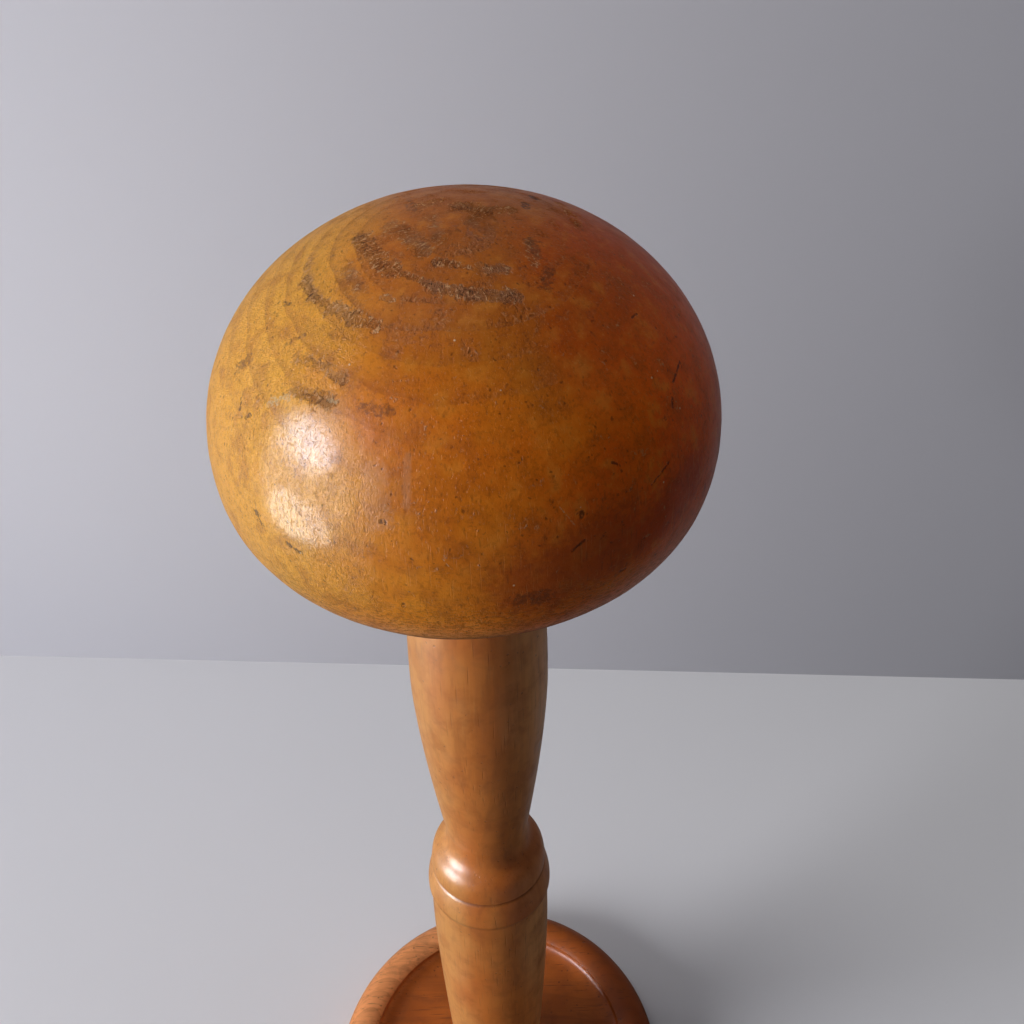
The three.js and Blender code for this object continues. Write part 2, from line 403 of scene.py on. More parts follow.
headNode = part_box("head")
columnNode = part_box("column")
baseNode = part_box("base")
tenonRadius = 11 * mm
glueGap = 0.3 * mm
head = {
    "radius": headNode[1].x,
    "underside": headNode[0].z,
    "top": headNode[1].z,
    "skirtDepth": 33 * mm,
    "skirtHalfHeight": 44 * mm,
    "skirtFullness": 2.3,
    "arrisRound": 2 * mm,
    "mortiseEndGap": 3 * mm,
    "drillPointAngle": math.radians(59),
    "spacing": 0.95 * mm,
    "segments": 384,
    "crownLean": 0.7 * mm,  # how far the top stands to the right of the axis
    "unevenness": 0.14 * mm,
    "waveLengths": (26 * mm, 9 * mm),
    "sunk": 1.5,  # shifts the waves inwards, so that hardly any of the skin stands proud
    "roofGap": 12 * mm,  # above the tenon, past the point of the mortise
    "crown": (362.0, 374.0),  # heights in mm at which the crown's wear starts and is full
    "upperShade": (366.0, 384.0),
    "ringsShow": (345.0, 372.0),
    # heights of the painted sheen on the lower right edge
    "paintedSheen": (337.0, 318.0),
    "rub": (338.0, 318.0),
    "bare": (326.0, 314.0),
    "arris": (318.0, 312.0),
    "shader": {"IOR": 1.5, "Specular IOR Level": 0.15, "Coat Roughness": 0.18},
    "rings": {"Pith": (1, -12.5, 0), "Ring width": 4.6, "Wander": 1.6, "Wander size": 15.0},
    "fibres": {"Size": 0.6, "Length": 7.0, "Pore share": 0.3},
    "wear": {"Pit size": 1.4, "Pit share": 0.2},
    "tones": {
        "wood": ((224, 126, 24), (210, 114, 20)),
        # left and right: painted light and shade over the wood's own change from gold to red, paler on the
        # lit left and redder on the shaded right
        "left": (240, 172, 58),
        "right": (224, 90, 4),
        "upperShade": (156, 58, 0),
        "crown": (158, 84, 24),
        "lateWood": (134, 70, 24),
        "mottle": (158, 74, 8),
        "paleMottle": (226, 146, 54),
        "fleck": (136, 66, 10),
        "dots": (120, 56, 10),
        "shade": (156, 46, 2),
        # haze: a hazy smudge, and a painted reflection of a window bar
        "hazeAndReflection": (206, 142, 98),
        "crackle": (150, 88, 30),
        "dirt": (108, 56, 16),
        "torn": ((132, 76, 36), (132, 98, 74)),
        "hole": (58, 32, 16),
        "fibre": (226, 174, 122),
        "smudge": (96, 54, 30),
        "dark": (58, 28, 14),
        "pale": (206, 180, 138),
        "pore": (84, 44, 16),
        "pit": (68, 34, 14),
        "scratch": (226, 170, 100),
        "dust": (230, 200, 160),
        # a painted sheen: the reflection of the pale room on the lower right edge
        "paintedSheen": (240, 150, 92),
        "bare": (226, 152, 82),
        "scuff": (126, 70, 28),
        # arris: worn, and painted shade where the edge turns under
        "arris": (80, 44, 20),
    },
}
headEquator = head["underside"] + head["skirtDepth"]
crownHeight = head["top"] - headEquator


def headProfile():
    skirt = superellipse(head["radius"], head["skirtHalfHeight"], head["skirtFullness"],
                         (head["skirtDepth"] - head["arrisRound"]) / head["skirtHalfHeight"])
    skirt = np.stack([skirt[:, 0], headEquator - skirt[:, 1]], axis=1)[::-1]
    crown = superellipse(head["radius"], crownHeight, 2) + [0, headEquator]
    crown[-1, 0] = 0
    arrisTop, round_ = skirt[0], head["arrisRound"]
    arris = bend((arrisTop[0] - 2 * round_, head["underside"]),
                 (arrisTop[0] - round_ / 2, head["underside"]), arrisTop)
    hole = tenonRadius + glueGap
    holeEnd = columnNode[1].z + head["mortiseEndGap"]
    point = (0, holeEnd + hole / math.tan(head["drillPointAngle"]))
    return chain(head["spacing"], [point, (hole, holeEnd)], [(hole, holeEnd), (hole, head["underside"])],
                 [(hole, head["underside"]), arris[0]], arris, skirt, crown)


# Turned true, then worn: the crown leans by the square of its height, and the outer skin sinks along the
# lines from the centre by an uneven amount.
def headPoints(points):
    x, y, z = points.T
    outside = (np.hypot(x, y) > 2 * tenonRadius) | (z > columnNode[1].z + head["roofGap"])
    rise = np.clip((z - headEquator) / crownHeight, 0, 1) ** 2
    lean = np.stack([head["crownLean"] * rise, 0 * z, 0 * z], axis=1)
    outward = points - [0, 0, headEquator]
    outward /= np.linalg.norm(outward, axis=1)[:, None] + 1e-9
    long, short = head["waveLengths"]
    waves = unevenness(points, long, 3) + 0.5 * unevenness(points, short, 4)
    flatBottom = z < head["underside"] + 0.01 * mm
    sink = np.where(outside & ~flatBottom, head["unevenness"] * (waves - head["sunk"]) / 2, 0)
    return points + np.where(outside[:, None], lean, 0) + outward * sink[:, None]


# A point on the head's skin, in mm, at a bearing from the front and a height, and the ways across and up.
def onHead(bearing, height, step=0.5):
    def radiusAt(z):
        up = z * mm - headEquator
        if up > 0:
            return head["radius"] * math.sqrt(max(0, 1 - (up / crownHeight) ** 2))
        share = (-up / head["skirtHalfHeight"]) ** head["skirtFullness"]
        return head["radius"] * (1 - share) ** (1 / head["skirtFullness"])
    turn = math.radians(bearing)
    out = Vector((math.sin(turn), -math.cos(turn), 0))
    across = Vector((math.cos(turn), math.sin(turn), 0))
    here = out * radiusAt(height) + Vector((0, 0, height * mm))
    above = out * radiusAt(height + step) + Vector((0, 0, (height + step) * mm))
    return here / mm, across, (above - here).normalized()


# A point on the crown, in mm, from its place in plan.
def overHead(x, y):
    inside = 1 - (x * x + y * y) / (head["radius"] / mm) ** 2
    return Vector((x, y, (headEquator + crownHeight * math.sqrt(inside)) / mm))


# Marks on the head: bearing, height (mm), length (mm), turn (degrees up from level), width (mm), roughness.
headMarks = {
    "dark": [
        (24, 350, 0.8, 90, 0.8, 1), (23, 343, 3.4, 35, 0.45, 2),
        (43.5, 351.5, 6.5, 22, 0.35, 2), (58.5, 367, 6, 20, 0.4, 3),
        (52.5, 363, 2, 60, 0.4, 3), (61.5, 337.5, 2.2, 90, 0.4, 2),
        (-33.5, 339.5, 4.5, -17, 0.5, 5), (-43, 343, 2.6, -50, 0.8, 5),
        (-13.5, 351.5, 0.7, 0, 0.7, 2), (-59.5, 381.5, 1.6, 20, 0.9, 3),
        (-54, 364, 2.5, -70, 0.6, 4), (-50, 363, 1.8, 40, 0.5, 4),
        (56.5, 378.5, 2.2, 0, 0.35, 1), (94, 393.5, 2.4, 0, 1.3, 2),
        (117, 392.5, 3, 0, 1.2, 2), (32.5, 358, 1.2, -35, 0.4, 2),
        (37.5, 323, 1, 0, 0.6, 2), (34, 331, 1, 0, 0.6, 2),
        (-11, 330.5, 1, 80, 0.5, 2),
    ],
    "smudge": [
        (14, 331, 6, 0, 2.6, 3), (-16.5, 371.5, 6, 0, 1.5, 3),
        (-60, 370, 4, 60, 1.8, 4), (-46, 378, 5.5, 48, 0.8, 4),
        (44, 391, 6, 60, 1.8, 4), (37, 387.5, 5, 50, 1.6, 4),
        (-95, 394.5, 7, 15, 1.3, 4),
    ],
    "shade": [
        (22, 337, 20, 16, 13, 1), (46, 342, 18, 20, 9, 1),
    ],
    "pale": [
        (21, 350.5, 13.2, -58, 0.25, 2), (-42, 368.5, 5, 34, 1.2, 4),
        (-27.5, 371.5, 1.2, 0, 0.7, 3), (-2, 343, 3, -60, 0.2, 2),
        (2, 337, 3, 65, 0.15, 2), (5, 333, 4, -30, 0.15, 2),
    ],
    # a hazy smudge, then a painted reflection: the thin pale upright strip of a window bar
    "hazeAndReflection": [
        (-15, 356, 9, -80, 4, 2), (-9, 360, 10, 90, 1.2, 1),
    ],
}

# Torn end grain on the crown, in plan (mm): start, end, width, strength.
tornPatches = [
    ((-20.5, -10.5), (-16.5, -19.5), 2.6, 1.0), ((-17, -19), (-12.5, -24.5), 2.3, 1.0),
    ((-12.5, -24.5), (-2.5, -31), 1.0, 0.9), ((-2.5, -31), (4, -32.5), 1.8, 1.0),
    ((4, -32.5), (13, -32), 2.0, 1.0), ((-32, -9), (-32.5, -17), 1.3, 0.8),
    ((-32.5, -17), (-30, -24), 1.7, 1.0), ((-30, -24), (-25, -29.5), 1.3, 1.0),
    ((-25, -29.5), (-20, -34), 2.1, 1.0), ((-20, -34), (-15, -37), 1.5, 0.9),
    ((-23, -20), (-19.5, -26.5), 1.8, 0.6), ((-14, -31), (-12.5, -32), 1.1, 0.9),
    ((-13.5, -8.5), (-9, -15.5), 2.6, 0.8), ((-9, -15.5), (-6, -20.5), 2.0, 0.9),
    ((-5.5, -7), (-2.5, -17), 1.8, 0.6), ((-3, -24), (0.5, -25), 1.4, 1.0),
    ((0.5, -25), (6, -26.5), 0.8, 0.7), ((6, -26), (11, -25.5), 1.6, 0.8),
    ((1.5, -2), (7, -4.5), 2.8, 0.9), ((7, -4.5), (12, -3), 2.2, 0.7),
    ((3.5, -10.5), (5, -8), 1.7, 0.6), ((16, -15), (17, -22), 1.5, 0.6),
    ((-32.5, -36), (-27.5, -40), 1.6, 0.8), ((-27.5, -40), (-22, -44), 1.7, 0.8),
    ((-33.5, -41), (-28.5, -44.5), 1.4, 0.9), ((-28.5, -44.5), (-25, -46.5), 1.9, 1.0),
    ((-8, -0.5), (-3.5, 1.5), 1.9, 0.7), ((10, 18), (-2, 20), 2.2, 0.9),
    ((-2, 20), (-12, 15), 1.5, 0.8), ((24, 10), (27, -2), 1.7, 0.7),
]


def strokes(w, place, shake, marks):
    masks = []
    for bearing, height, length, turn, width, rough in marks:
        middle, across, up = onHead(bearing, height)
        way = (across * math.cos(math.radians(turn)) + up * math.sin(math.radians(turn))) * length / 2
        sockets = {"Vector": place, "Start": middle - way, "End": middle + way, "Width": width,
                   "Shake": w.times(shake, rough)}
        masks.append(w.use(groups["strokeMark"], sockets)["Mask"])
    return w.largest(*masks)


def patches(w, place, shake):
    masks = []
    for start, end, width, strength in tornPatches:
        sockets = {"Vector": place, "Start": overHead(*start), "End": overHead(*end), "Width": width,
                   "Spread": 1.5, "Shake": w.times(shake, 2.6)}
        masks.append(w.times(w.use(groups["strokeMark"], sockets)["Mask"], strength))
    return w.largest(*masks)


def headWood(w, place):
    rings, fibres, worn = grain(w, head, place, place)
    x, _, z = w.parts(place)
    broad = w.noise(place, 24.0, 3.0, 0.55)
    mottle = w.noise(place, 5.5, 4.0, 0.62)
    fleck = w.noise(place, 1.2, 3.0, 0.65)
    dots = w.noise(place, 0.62, 2.0, 0.5)
    shake = w.minus(w.noise(place, 1.3, 4.0, 0.65), 0.5)
    marks = {kind: strokes(w, place, shake, headMarks[kind]) for kind in headMarks}

    # torn fibres lie along the radius from the pith, so their roughness is drawn out that way
    px, py, _ = w.parts(w.vector("SUBTRACT", place, head["rings"]["Pith"]))
    reach = w.math("SQRT", w.add(w.times(px, px), w.times(py, py)))
    turn = w.times(w.math("ARCTAN2", px, w.times(py, -1.0)), 25.0)
    polar = w.node("CombineXYZ", {0: turn, 1: w.times(reach, 0.5), 2: w.times(z, 0.5)}).outputs[0]
    chips = w.mix(0.42, w.noise(polar, 0.95, 3.0, 0.62, 1.1), w.noise(place, 0.8, 3.0, 0.6))
    hole = w.ease(chips, 0.465, 0.415)
    fibre = w.ease(chips, 0.53, 0.59)
    # grains stand alone round a patch and run together inside it
    torn = w.add(patches(w, place, shake), w.sway(chips, 2.8), w.sway(mottle, 1.5))
    crown = w.ease(w.add(reach, w.sway(broad, 34.0), w.sway(mottle, 16.0)), 50.0, 20.0)
    crown = w.times(crown, w.ease(z, *head["crown"]))
    loose = w.ease(w.add(mottle, w.times(shake, 0.6), w.times(rings["Late wood"], 0.2)), 0.52, 0.7)
    torn = w.largest(w.ease(torn, 0.28, 0.9), w.times(loose, crown, 0.42))
    grey = w.ease(w.noise(place, 9.0, 2.0), 0.42, 0.62)

    # the varnish has crackled like leather on the left
    side = w.add(x, w.sway(broad, 40.0))
    leathery = w.ease(side, -12.0, -30.0)
    crackle = w.times(w.ease(worn["Wrinkles"], 0.5, 0.4), leathery)

    # the lower edge is rubbed and pitted, and its arris is worn and darkened with painted shade where it
    # turns under
    raggedHeight = w.add(z, w.sway(mottle, 12.0))
    low = w.ease(raggedHeight, *head["rub"])
    scratchy = w.noise(w.stretched(place, (0, 0, 0), (0.6, 0.6, 1.2)), 1.0, 3.0, 0.65)
    scuff = w.times(low, w.ease(scratchy, 0.48, 0.6))
    arris = w.ease(w.add(z, w.times(shake, 6.0)), *head["arris"])

    tone = w.tinted(
        dict(head["tones"], torn=w.tint(grey, *head["tones"]["torn"])), w.ease(broad, 0.36, 0.66),
        # painted light and shade: paler gold on the lit left, redder on the shaded right, over the wood's
        # own tone
        ("left", w.ease(side, 0.0, -42.0)),
        ("right", w.ease(side, -2.0, 48.0)),
        ("upperShade", w.ease(z, *head["upperShade"]), w.ease(side, 4.0, 26.0), 0.6),
        ("crown", crown, w.ease(side, 30.0, 8.0), w.mix(w.ease(x, -8.0, -28.0), 0.76, 0.05)),
        ("lateWood", rings["Late wood"], w.ease(side, 30.0, -10.0), w.ease(z, *head["ringsShow"]), 0.5),
        ("mottle", w.ease(mottle, 0.46, 0.7), 0.34),
        ("paleMottle", w.ease(mottle, 0.5, 0.3), 0.3),
        ("fleck", w.ease(fleck, 0.5, 0.68), 0.28),
        ("dots", w.ease(dots, 0.52, 0.68), w.ease(mottle, 0.4, 0.66), 0.34),
        ("shade", marks["shade"], 0.5),
        # a hazy smudge and a painted window-bar reflection
        ("hazeAndReflection", marks["hazeAndReflection"], 0.38),
        ("crackle", crackle, 0.22),
        ("dirt", worn["Dirt"], 0.17),
        ("torn", torn, 0.55),
        ("hole", torn, hole, 0.85),
        ("fibre", torn, fibre, 0.6),
        ("smudge", marks["smudge"], w.ease(fleck, 0.3, 0.6), 0.65),
        ("dark", marks["dark"], w.ease(dots, 0.34, 0.5), 0.76),
        ("pale", marks["pale"], w.ease(dots, 0.36, 0.56), 0.6),
        ("pore", fibres["Pores"], 0.3),
        ("pit", worn["Pits"], 0.6),
        ("scratch", worn["Scratches"], 0.12),
        ("dust", worn["Dust"], 0.8),
        # painted sheen on the lower right edge
        ("paintedSheen", w.ease(x, 20.0, 44.0), w.ease(z, *head["paintedSheen"]), 0.5),
        ("bare", w.ease(raggedHeight, *head["bare"]), w.ease(side, 30.0, 0.0), 0.5),
        ("scuff", scuff, 0.5),
        # painted shade on the arris, over its wear
        ("arris", arris, 0.7),
    )
    rough = w.add(0.34, w.sway(broad, 0.2), w.sway(mottle, 0.15), w.times(torn, 0.4),
                  w.times(scuff, 0.15), w.times(worn["Dirt"], 0.08), w.times(arris, 0.3))
    coat = w.times(w.ease(torn, 0.45, 0.05), w.mix(low, 0.36, 0.16), w.minus(1.0, w.times(crackle, 0.9)),
                   w.minus(1.0, arris))
    height = w.add(
        w.times(worn["Wrinkles"], w.mix(leathery, 0.06, 0.5)),
        w.times(w.noise(place, 3.0, 2.0), 0.16),
        w.times(worn["Pits"], w.mix(leathery, -0.04, -0.12)),
        w.times(torn, w.add(w.times(chips, 1.9), -1.1)),
        w.times(marks["dark"], -0.12),
        w.times(worn["Scratches"], -0.02),
        w.times(worn["Dust"], 0.08),
        w.times(scuff, -0.1),
    )
    return {"Base Color": tone, "Roughness": rough, "Coat Weight": coat}, height


points, faces = turned(headProfile(), head["segments"])
addPiece("turned_head", headPoints(points), faces, woodMaterial(head, headWood), "head")
print("head made:", len(points), "points")


# Column: round tenons, two bellied shafts and the ring between them

bossDrop = 1.8 * mm  # from the top of the base's rim to the boss that the column stands on
column = {
    "bottom": columnNode[0].z,
    "top": columnNode[1].z,
    "shoulder": baseNode[1].z - bossDrop,
    "footRadius": 17 * mm,
    "lowerLength": 127 * mm,
    "lowerBelly": 21.4 * mm,
    "lowerBellyDrop": 20 * mm,
    "lowerTop": 21.1 * mm,
    "lowerTaper": 1.5,
    "bandHeight": 11.3 * mm,
    "bandRadius": 22.15 * mm,
    "bandRound": 1.4 * mm,
    "bandSwell": 0.5 * mm,
    "grooveRadius": 20.3 * mm,
    "grooveWidth": 1.2 * mm,
    "grooveDepth": 0.8 * mm,
    "shoulderHeight": 19.3 * mm,
    "shoulderPull": 14 * mm,  # straight up from the groove
    "neckPull": 14 * mm,  # straight down from the neck
    "neckRadius": 14.1 * mm,
    "upperBelly": 21.15 * mm,
    "upperBellyDrop": 59 * mm,
    "upperTop": 18 * mm,
    "upperTaper": 1.5,
    "topTaper": 2,
    "tenonChamfer": 1.5 * mm,
    "kerfWidth": 1.6 * mm,
    "kerfRootGap": 2.5 * mm,
    "wedgeSpread": 0.9 * mm,
    "spacing": 0.8 * mm,
    "segments": 192,
    "unevenness": 0.08 * mm,
    "waveLength": 20 * mm,
    "sunk": 1.2,
    "shader": {"IOR": 1.5, "Specular IOR Level": 0.35, "Coat Roughness": 0.2},
    "rings": {"Pith": (46, 38, 0), "Ring width": 3.6, "Wander": 1.0, "Wander size": 30.0},
    "fibres": {"Size": 0.55, "Length": 22.0, "Pore share": 0.3},
    "wear": {"Pit size": 1.6, "Pit share": 0.12},
    "tones": {
        "wood": ((212, 128, 56), (204, 114, 44)),
        # left and right are painted light: paler with a painted sheen where the window lights the shaft, and
        # lighter on the shaded right as painted fill
        "left": (214, 150, 84),
        "right": (236, 164, 98),
        "lateWood": (160, 86, 34),
        "figure": (156, 82, 30),
        "cloud": (170, 88, 32),
        "streak": (164, 90, 38),
        "ray": (226, 168, 100),
        "dirt": (108, 62, 28),
        "pore": (104, 58, 24),
        "pit": (84, 46, 20),
        # ring: painted shade, darker and redder on the ring's right
        "ring": (186, 78, 22),
        # painted shade in the groove and under the ring
        "creaseShade": (84, 44, 20),
    },
}
kerfRoot = column["shoulder"] - column["kerfRootGap"]
ringBottom = column["shoulder"] + column["lowerLength"]
grooveBottom = ringBottom + column["bandHeight"]
shoulderBottom = grooveBottom + column["grooveWidth"]
neck = shoulderBottom + column["shoulderHeight"]


def columnProfile():
    c = column
    lowerBelly = (c["lowerBelly"], ringBottom - c["lowerBellyDrop"])
    upperBelly = (c["upperBelly"], head["underside"] - c["upperBellyDrop"])
    edge = bend((c["bandRadius"] - c["bandRound"] / 2, ringBottom), (c["bandRadius"], ringBottom),
                (c["bandRadius"], ringBottom + c["bandRound"]))
    middle = ((c["bandRadius"] + c["grooveRadius"]) / 2 + 2 * c["bandSwell"],
              (ringBottom + c["bandRound"] + grooveBottom) / 2)
    face = bend(edge[-1], middle, (c["grooveRadius"], grooveBottom))
    grooveMiddle = (c["grooveRadius"] - c["grooveDepth"], grooveBottom + c["grooveWidth"] / 2)
    shoulder = sweep((c["grooveRadius"], shoulderBottom),
                     (c["grooveRadius"], shoulderBottom + c["shoulderPull"]),
                     (c["neckRadius"], neck - c["neckPull"]),
                     (c["neckRadius"], neck))
    underHead = (tenonRadius, head["underside"])
    foot, footTenon = (c["footRadius"], c["shoulder"]), (tenonRadius, c["shoulder"])
    lowEnd, topEnd = (tenonRadius, c["bottom"]), (tenonRadius - c["tenonChamfer"], c["top"])
    chamfer = (tenonRadius, c["top"] - c["tenonChamfer"])
    return chain(
        c["spacing"],
        [(0, c["bottom"]), lowEnd], [lowEnd, (tenonRadius, kerfRoot), footTenon], [footTenon, foot],
        taper(lowerBelly, foot, c["lowerTaper"])[::-1],
        taper(lowerBelly, (c["lowerTop"], ringBottom), c["topTaper"]),
        [(c["lowerTop"], ringBottom), edge[0]],
        edge, face, [face[-1], grooveMiddle], [grooveMiddle, shoulder[0]], shoulder,
        taper(upperBelly, (c["neckRadius"], neck), c["upperTaper"])[::-1],
        taper(upperBelly, (c["upperTop"], head["underside"]), c["topTaper"]),
        [(c["upperTop"], head["underside"]), underHead],
        [underHead, chamfer], [chamfer, topEnd], [topEnd, (0, c["top"])],
    )


# How far each half of the split tenon is pushed out along X at a height.
def spreadAt(height):
    share = (kerfRoot - height) / (kerfRoot - column["bottom"])
    return column["wedgeSpread"] * np.clip(share, 0, 1)


# The points near the axis moved apart along X by that spread, each to its own side.
def spreadHalves(points, nearAxis):
    side = np.where(np.abs(points[:, 0]) < 1e-6, 0, np.sign(points[:, 0]))
    moved = points.copy()
    moved[:, 0] += np.where(nearAxis, side * spreadAt(points[:, 2]), 0)
    return moved


# The lower tenon is spread, and the skin between the tenons sinks unevenly towards the axis, in waves that
# are drawn out along it.
def columnPoints(points):
    radius = np.hypot(points[:, 0], points[:, 1])
    points = spreadHalves(points, points[:, 2] < kerfRoot)
    outward = points * [1, 1, 0] / (radius[:, None] + 1e-9)
    waves = unevenness(points * [1, 1, 0.35], column["waveLength"], 8)
    sink = column["unevenness"] * (waves - column["sunk"]) / 2
    return points + outward * np.where(radius > tenonRadius + mm, sink, 0)[:, None]


# The saw cut across the split tenon, as a tapered block that is taken out of it.
def cutKerf(piece):
    low, high = column["bottom"] - column["kerfWidth"], kerfRoot
    grow = 1 + column["kerfWidth"] / (kerfRoot - column["bottom"])
    half = {low: column["kerfWidth"] / 2 + column["wedgeSpread"] * grow, high: column["kerfWidth"] / 2}
    reach = 1.5 * tenonRadius
    corners = [(sx * half[z], sy * reach, z)
               for z in (low, high) for sx, sy in ((-1, -1), (1, -1), (1, 1), (-1, 1))]
    sides = [(0, 3, 2, 1), (4, 5, 6, 7), (0, 1, 5, 4), (1, 2, 6, 5), (2, 3, 7, 6), (3, 0, 4, 7)]
    mesh = bpy.data.meshes.new("kerf")
    mesh.from_pydata(corners, [], sides)
    cutter = addObject("kerf", mesh)
    modifier = piece.modifiers.new("kerf", "BOOLEAN")
    modifier.object, modifier.operation, modifier.solver = cutter, "DIFFERENCE", "MANIFOLD"
    bpy.context.view_layer.update()
    cut = bpy.data.meshes.new_from_object(piece.evaluated_get(bpy.context.evaluated_depsgraph_get()))
    piece.modifiers.clear()
    piece.data = cut
    bpy.data.objects.remove(cutter)


def columnWood(w, place):
    rings, fibres, worn = grain(w, column, place, place)
    x, _, z = w.parts(place)
    blotch = w.noise(w.stretched(place, (0, 0, 0), (1, 1, 0.4)), 20.0, 3.0)
    figure = w.noise(w.stretched(place, (0.12, 0, 0), (1, 1, 0.28)), 5.0, 4.0, 0.6, 0.6)
    cloud = w.noise(place, 9.0, 3.0, 0.6)
    side = w.add(x, w.sway(blotch, 24.0))

    # painted shade darkens the groove and the step under the ring, and painted shade makes the ring darker
    # and redder on its right
    fromGroove = w.math("ABSOLUTE", w.minus(z, (grooveBottom + column["grooveWidth"] / 2) / mm))
    fromRing = w.math("ABSOLUTE", w.minus(z, ringBottom / mm))
    creaseShade = w.largest(w.ease(fromGroove, 1.0, 0.2), w.times(w.ease(fromRing, 2.2, 0.2), 0.6))
    onRing = w.times(w.ease(z, ringBottom / mm - 0.5, ringBottom / mm + 0.5),
                     w.ease(z, neck / mm, neck / mm - 8.0))

    tone = w.tinted(
        column["tones"], w.ease(blotch, 0.36, 0.66),
        # painted light: a paler lit left and a lightened shaded right
        ("left", w.ease(side, -2.0, -16.0)),
        ("right", w.ease(side, 6.0, 20.0)),
        ("lateWood", rings["Late wood"], 0.2),
        ("figure", w.ease(figure, 0.5, 0.68), 0.28),
        ("cloud", w.ease(cloud, 0.46, 0.66), 0.3),
        ("streak", w.ease(fibres["Streaks"], 0.46, 0.68), 0.15),
        ("ray", fibres["Ray flecks"], 0.1),
        ("dirt", worn["Dirt"], 0.18),
        ("pore", fibres["Pores"], 0.2),
        ("pit", worn["Pits"], 0.45),
        # painted shade on the ring's right
        ("ring", onRing, w.ease(side, 2.0, 14.0), 0.42),
        # painted shade in the groove and under the ring
        ("creaseShade", creaseShade, 0.5),
    )
    rough = w.add(0.38, w.sway(blotch, 0.25), w.times(worn["Dirt"], 0.1))
    coat = w.mix(worn["Dirt"], 0.2, 0.1)
    waves = w.noise(w.stretched(place, (0, 0, 0), (1, 1, 0.5)), 5.0, 2.0)
    return {"Base Color": tone, "Roughness": rough, "Coat Weight": coat}, smoothSkin(w, fibres, worn, waves)


points, faces = turned(columnProfile(), column["segments"])
points, wood = columnPoints(points), woodMaterial(column, columnWood)
columnPiece = addPiece("turned_column", points, faces, wood, "column")
cutKerf(columnPiece)
print("column made:", len(points), "points")


# Base: half-round rim, sunk dish, low boss, flat foot ring and a shallow hollow underneath

base = {
    "radius": baseNode[1].x,
    "thickness": 19 * mm,
    "rimFall": 1.8 * mm,
    "quirkDepth": 1.2 * mm,
    "dishDepth": 6 * mm,
    "coveWidth": 6 * mm,
    "floorRise": 1 * mm,
    "bossRadius": 22 * mm,
    "bossRound": 2 * mm,
    "footRingWidth": 12 * mm,
    "hollowSlopeWidth": 26 * mm,
    "spacing": 0.8 * mm,
    "segments": 384,
    "unevenness": 0.1 * mm,
    "waveLength": 24 * mm,
    "sunk": 1.2,
    "rimStarts": (0.8, 0.95),  # shares of the radius between which the skin turns from flat to the rim
    "trunkTurn": (0, math.radians(90), math.radians(14)),  # the disc is cut along the grain
    "shader": {"IOR": 1.5, "Specular IOR Level": 0.3, "Coat Roughness": 0.25},
    "rings": {"Pith": (52, 12, 0), "Ring width": 4.4, "Wander": 1.6, "Wander size": 34.0},
    "fibres": {"Size": 0.6, "Length": 20.0, "Pore share": 0.3},
    "wear": {"Pit size": 1.8, "Pit share": 0.16},
    "tones": {
        "wood": ((186, 98, 32), (164, 82, 22)),
        # the two rim tints are painted light and shade: the window's sheen on the left rim, shade on the
        # right rim that faces away
        "paintedSheenRim": (238, 156, 96),
        "paintedShadeRim": (136, 56, 12),
        "lateWood": (126, 62, 20),
        "streak": (138, 70, 24),
        "dirt": (92, 52, 26),
        "pore": (80, 42, 18),
        "pit": (60, 32, 14),
    },
}


def baseProfile():
    b = base
    rimRadius = b["thickness"] / 2
    rimCentre = b["radius"] - rimRadius
    innerAngle = math.pi - math.asin((rimRadius - b["rimFall"]) / rimRadius)
    rimInner = rimCentre + rimRadius * math.cos(innerAngle)
    coveTop = b["thickness"] - b["rimFall"] - b["quirkDepth"]
    dishFloor = b["thickness"] - b["dishDepth"]
    ringInner = rimCentre - b["footRingWidth"]
    hollowFlat = ringInner - b["hollowSlopeWidth"]
    hollow, hole, top = column["bottom"], tenonRadius + glueGap, column["shoulder"]
    rim = arc((rimCentre, rimRadius), rimRadius, rimRadius, -math.pi / 2, innerAngle)
    cove = arc((rimInner - b["coveWidth"], coveTop), b["coveWidth"], coveTop - dishFloor, 0, -math.pi / 2)
    edge = arc((b["bossRadius"] - b["bossRound"], top - b["bossRound"]),
               b["bossRound"], b["bossRound"], 0, math.pi / 2)
    bossFoot = (b["bossRadius"], dishFloor + b["floorRise"])
    slope = bend((hollowFlat, hollow), ((hollowFlat + ringInner) / 2, hollow), (ringInner, 0))
    return chain(
        b["spacing"],
        [(hole, hollow), slope[0]], slope, [slope[-1], rim[0]], rim, [rim[-1], cove[0]], cove,
        [cove[-1], bossFoot], [bossFoot, edge[0]], edge, [edge[-1], (hole, top)],
        [(hole, top), (hole, kerfRoot), (hole, hollow)],
    )


# The mortise is spread as the tenon is, and the upper skin sinks unevenly: down on the flat, and towards
# the axis on the rim.
def basePoints(points):
    radius = np.hypot(points[:, 0], points[:, 1])
    points = spreadHalves(points, radius < tenonRadius + 2 * glueGap)
    upper = (radius > tenonRadius + 2 * mm) & (points[:, 2] > column["bottom"] + 2 * mm)
    sink = base["unevenness"] * (unevenness(points, base["waveLength"], 12) - base["sunk"]) / 2
    away = points * [1, 1, 0] / (radius[:, None] + 1e-9)
    start, full = base["rimStarts"]
    rim = np.clip((radius / base["radius"] - start) / (full - start), 0, 1)[:, None]
    way = away * rim + np.array([0, 0, 1]) * (1 - rim)
    return points + way * np.where(upper, sink, 0)[:, None]


